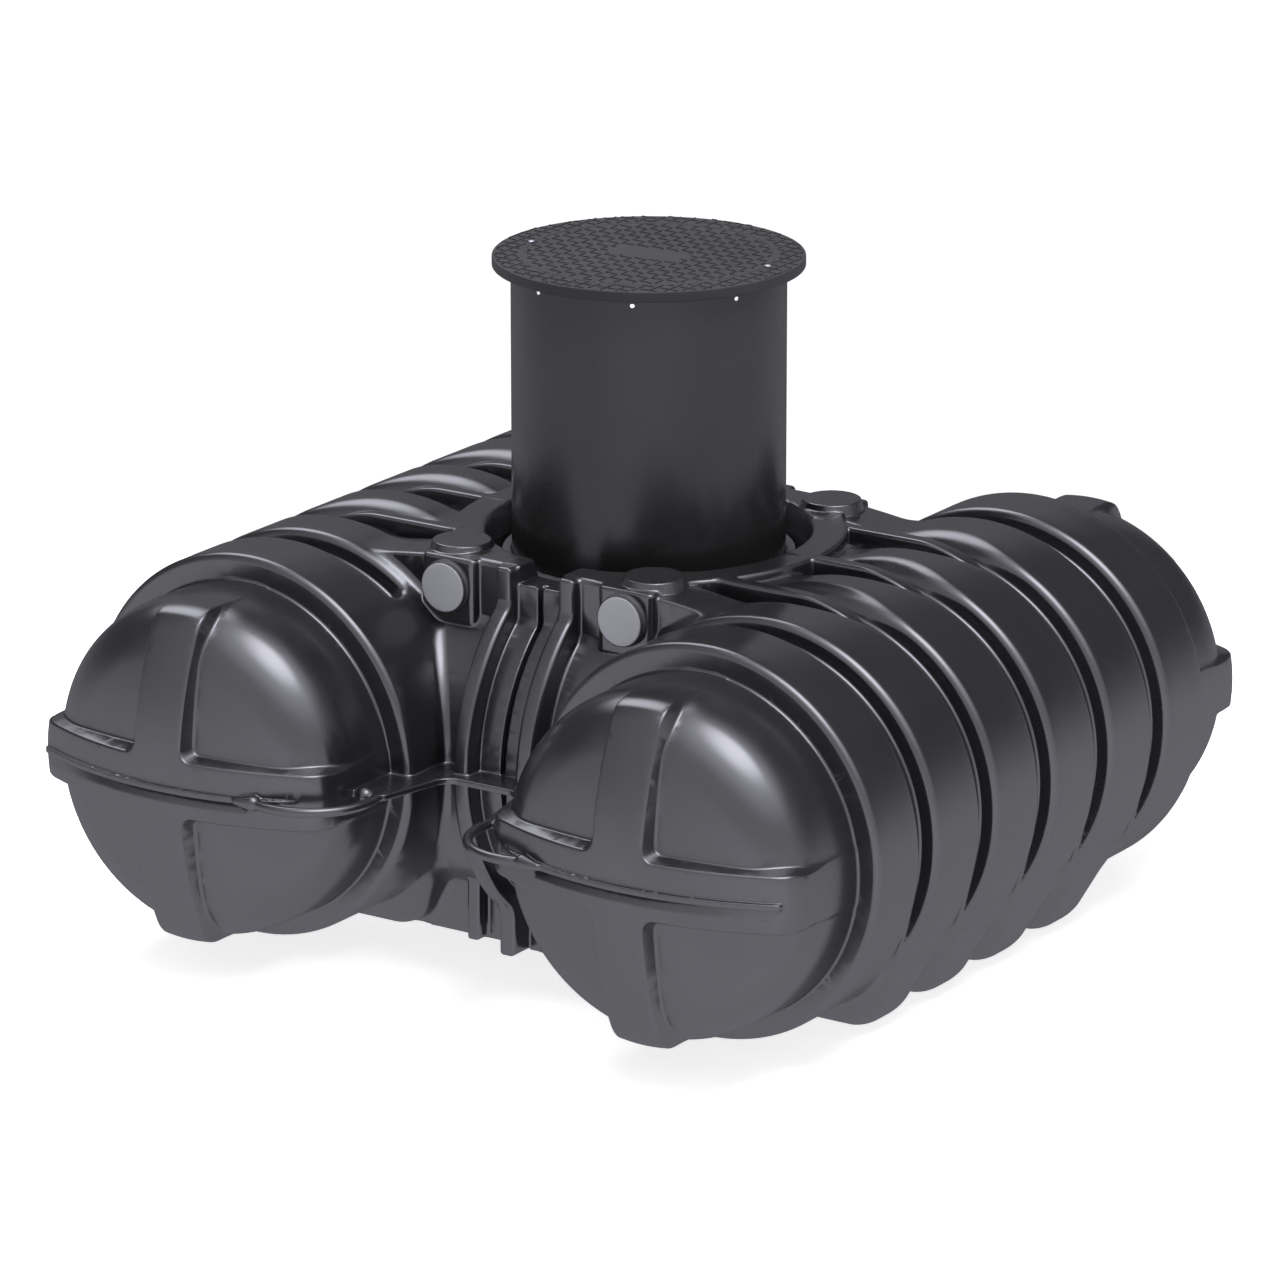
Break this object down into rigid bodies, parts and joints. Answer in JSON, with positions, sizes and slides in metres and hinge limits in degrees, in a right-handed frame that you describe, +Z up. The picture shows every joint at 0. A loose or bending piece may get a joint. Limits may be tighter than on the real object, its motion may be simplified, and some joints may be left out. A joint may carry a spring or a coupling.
{
  "type": "twin-barrel sewage holding tank",
  "caption": "Flat underground sewage holding tank: ribbed twin barrels with domed, cross-banded ends, joined by a saddle with plugged inlets and a riser shaft under a round cover.",
  "frame": {"origin": "on the floor under the middle of the tank, on the riser shaft's axis", "axes": "+Z up, +Y along the barrels towards the back, +X across the barrels to the right"},
  "size_m": [2.442, 2.462, 1.793],
  "materials": {
    "tank_plastic": "satin moulded",
    "shaft_plastic": "satin extruded",
    "cover_plastic": "matt moulded tread",
    "plug_plastic": "matt",
    "seal_rubber": "matt"
  },
  "bodies": {
    "root": {"back_saddle_wall": "tank_plastic", "back_skirt": "tank_plastic", "collar_deck": "tank_plastic", "collar_wall": "tank_plastic", "deck_bosses": "tank_plastic", "front_saddle_wall": "tank_plastic", "front_skirt": "tank_plastic", "left_back_dome": "tank_plastic", "left_back_inlet_block": "tank_plastic", "left_back_inlet_plug": "plug_plastic", "left_back_inlet_seal": "seal_rubber", "left_back_lifting_loop": "tank_plastic", "left_back_seam": "tank_plastic", "left_barrel_lower": "tank_plastic", "left_barrel_upper": "tank_plastic", "left_bridge_ribs": "tank_plastic", "left_feet": "tank_plastic", "left_front_dome": "tank_plastic", "left_front_inlet_block": "tank_plastic", "left_front_inlet_plug": "plug_plastic", "left_front_inlet_seal": "seal_rubber", "left_front_lifting_loop": "tank_plastic", "left_front_seam": "tank_plastic", "right_back_dome": "tank_plastic", "right_back_inlet_block": "tank_plastic", "right_back_inlet_plug": "plug_plastic", "right_back_inlet_seal": "seal_rubber", "right_back_lifting_loop": "tank_plastic", "right_back_seam": "tank_plastic", "right_barrel_lower": "tank_plastic", "right_barrel_upper": "tank_plastic", "right_bridge_ribs": "tank_plastic", "right_feet": "tank_plastic", "right_front_dome": "tank_plastic", "right_front_inlet_block": "tank_plastic", "right_front_inlet_plug": "plug_plastic", "right_front_inlet_seal": "seal_rubber", "right_front_lifting_loop": "tank_plastic", "right_front_seam": "tank_plastic", "riser_shaft": "shaft_plastic", "saddle_floor": "tank_plastic", "shaft_cover": "cover_plastic", "shaft_lip_seal": "seal_rubber", "shaft_well": "tank_plastic"}
  },
  "joints": []
}
